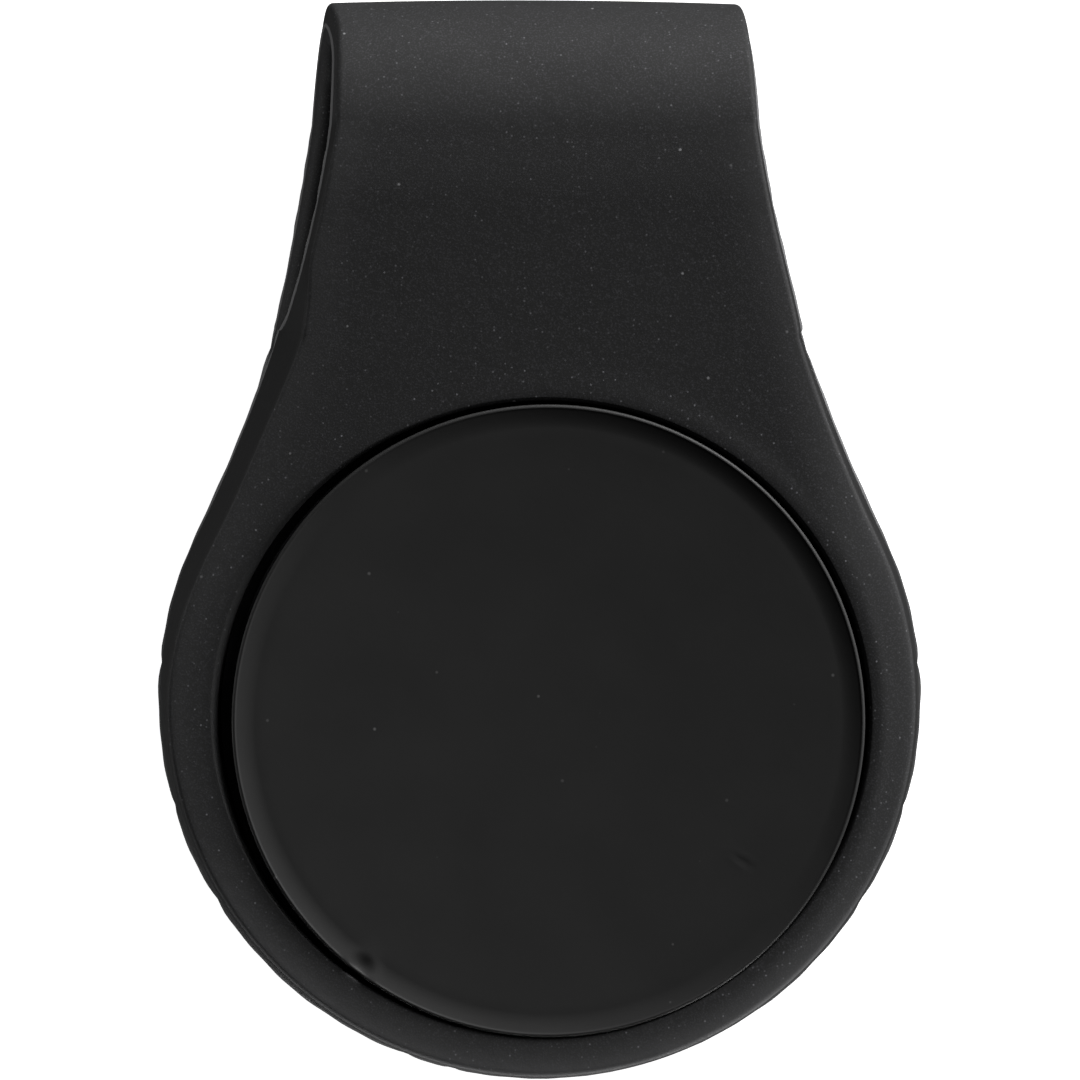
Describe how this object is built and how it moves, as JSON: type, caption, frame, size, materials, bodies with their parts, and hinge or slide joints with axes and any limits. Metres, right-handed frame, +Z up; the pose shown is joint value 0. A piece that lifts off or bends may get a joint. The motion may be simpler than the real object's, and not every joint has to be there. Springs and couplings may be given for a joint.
{
  "type": "clicker trainer",
  "caption": "Folded silicone clip whose round head holds a click module with a flat coated-steel push button; a magnetic back leaf closes it on a belt, pocket or cap peak.",
  "frame": {"origin": "on the button's axis, in the plane of the back leaf's outer face, which is the surface that the clip lies on", "axes": "+Z up out of the button's face, +Y from the head towards the fold, +X to the right seen from above"},
  "size_m": [0.0304, 0.043, 0.01],
  "materials": {
    "silicone": "matte moulded silicone, slightly dusty",
    "coated_steel": "satin black powder coat",
    "black_plastic": "fine texture",
    "grey_plastic": "fine texture",
    "nylon": "natural nylon",
    "zinc_steel": "zinc plated",
    "spring_steel": "bright rolled strip and wire",
    "screw_steel": "plated",
    "magnet": "nickel plated",
    "foam": "closed-cell foam",
    "tape": "double-sided foam tape"
  },
  "bodies": {
    "back": {"back_leaf": "silicone", "rear_magnet": "magnet", "rear_keeper_plate": "zinc_steel", "rear_cover": "black_plastic", "strap_fold": "silicone"},
    "front": {"front_clip": "silicone", "click_base": "black_plastic", "click_ring": "grey_plastic", "click_dome": "spring_steel", "dome_retainer": "nylon", "front_magnet": "magnet", "front_keeper_plate": "zinc_steel", "front_magnet_cover": "black_plastic", "case_screws": "screw_steel", "damper_ring": "foam", "return_spring": "spring_steel"},
    "button": {"button_disc": "coated_steel", "adhesive_pad": "tape", "button_carrier": "black_plastic", "striker": "nylon"}
  },
  "joints": [
    {"name": "clip_open", "type": "hinge", "parent": "back", "child": "front", "pos_m": [0, 0.0234, 0.005], "axis": [-1, 0, 0], "range_deg": [0, 30], "stiffness_Nm_per_rad": 0.02, "springref_deg": -11.46, "deforming": ["strap_fold"]},
    {"name": "button_press", "type": "slide", "parent": "front", "child": "button", "axis": [0, 0, -1], "range_m": [0, 0.0007], "stiffness_N_per_m": 600, "springref_m": -0.0008, "deforming": ["click_dome", "return_spring"]}
  ]
}
